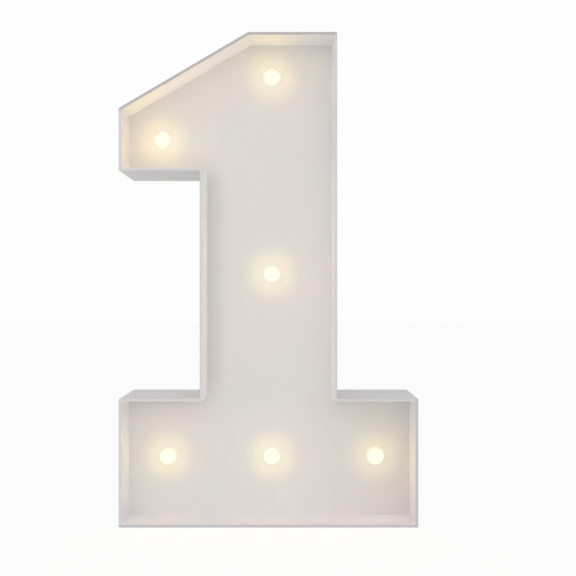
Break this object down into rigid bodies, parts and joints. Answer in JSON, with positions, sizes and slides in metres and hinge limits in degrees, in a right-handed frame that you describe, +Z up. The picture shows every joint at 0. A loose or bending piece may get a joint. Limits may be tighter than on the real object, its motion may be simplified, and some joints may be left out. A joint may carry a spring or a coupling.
{
  "type": "light up marquee number",
  "caption": "Light-up numeral one: open-front moulded tray with frosted lit domes on a set-back panel, and a screwed rear cover with battery bay, switch and keyhole.",
  "frame": {"origin": "middle of the underside", "axes": "+Z up along the numeral, +Y from the open front to the rear cover, +X to the right as seen from the front"},
  "size_m": [0.133, 0.045, 0.22],
  "materials": {
    "housing_plastic": "satin off-white moulding",
    "cover_plastic": "fine-textured off-white moulding",
    "lit_dome": "frosted, lit warm white",
    "led_resin": "clear warm resin",
    "plug_plastic": "natural soft plastic",
    "plated_steel": "nickel plated",
    "cell_jacket": "plain printed sleeve on a steel can",
    "switch_plastic": "black moulding",
    "lead_jacket": "white flexible sheath",
    "red_jacket": "red flexible sheath",
    "black_jacket": "black flexible sheath"
  },
  "bodies": {
    "root": {"front_housing": "housing_plastic", "rear_cover": "cover_plastic", "bulb_dome_1": "lit_dome", "bulb_dome_2": "lit_dome", "bulb_dome_3": "lit_dome", "bulb_dome_4": "lit_dome", "bulb_dome_5": "lit_dome", "bulb_dome_6": "lit_dome", "led_1": "led_resin", "led_2": "led_resin", "led_3": "led_resin", "led_4": "led_resin", "led_5": "led_resin", "led_6": "led_resin", "led_plug_1": "plug_plastic", "led_plug_2": "plug_plastic", "led_plug_3": "plug_plastic", "led_plug_4": "plug_plastic", "led_plug_5": "plug_plastic", "led_plug_6": "plug_plastic", "cover_screw_1": "plated_steel", "cover_screw_2": "plated_steel", "cover_screw_3": "plated_steel", "cover_screw_4": "plated_steel", "cover_screw_5": "plated_steel", "cover_screw_6": "plated_steel", "cover_screw_7": "plated_steel", "cover_screw_8": "plated_steel", "cover_screw_9": "plated_steel", "battery_cell_1": "cell_jacket", "battery_cell_2": "cell_jacket", "contact_spring_1": "plated_steel", "contact_spring_2": "plated_steel", "contact_bridge": "plated_steel", "contact_negative": "plated_steel", "contact_positive": "plated_steel", "switch_body": "switch_plastic", "switch_screw_1": "plated_steel", "switch_screw_2": "plated_steel", "lead_1": "lead_jacket", "lead_2": "lead_jacket", "lead_3": "lead_jacket", "lead_4": "lead_jacket", "lead_5": "lead_jacket", "wire_positive": "red_jacket", "wire_negative": "black_jacket", "wire_feed": "red_jacket"},
    "door": {"battery_door": "cover_plastic"},
    "slider": {"switch_slider": "switch_plastic"}
  },
  "joints": [
    {"name": "door_hinge", "type": "hinge", "parent": "root", "child": "door", "pos_m": [0, 0.0225, 0.1006], "axis": [1, 0, 0], "range_deg": [0, 60]},
    {"name": "switch_slide", "type": "slide", "parent": "root", "child": "slider", "axis": [1, 0, 0], "range_m": [0, 0.004]}
  ]
}
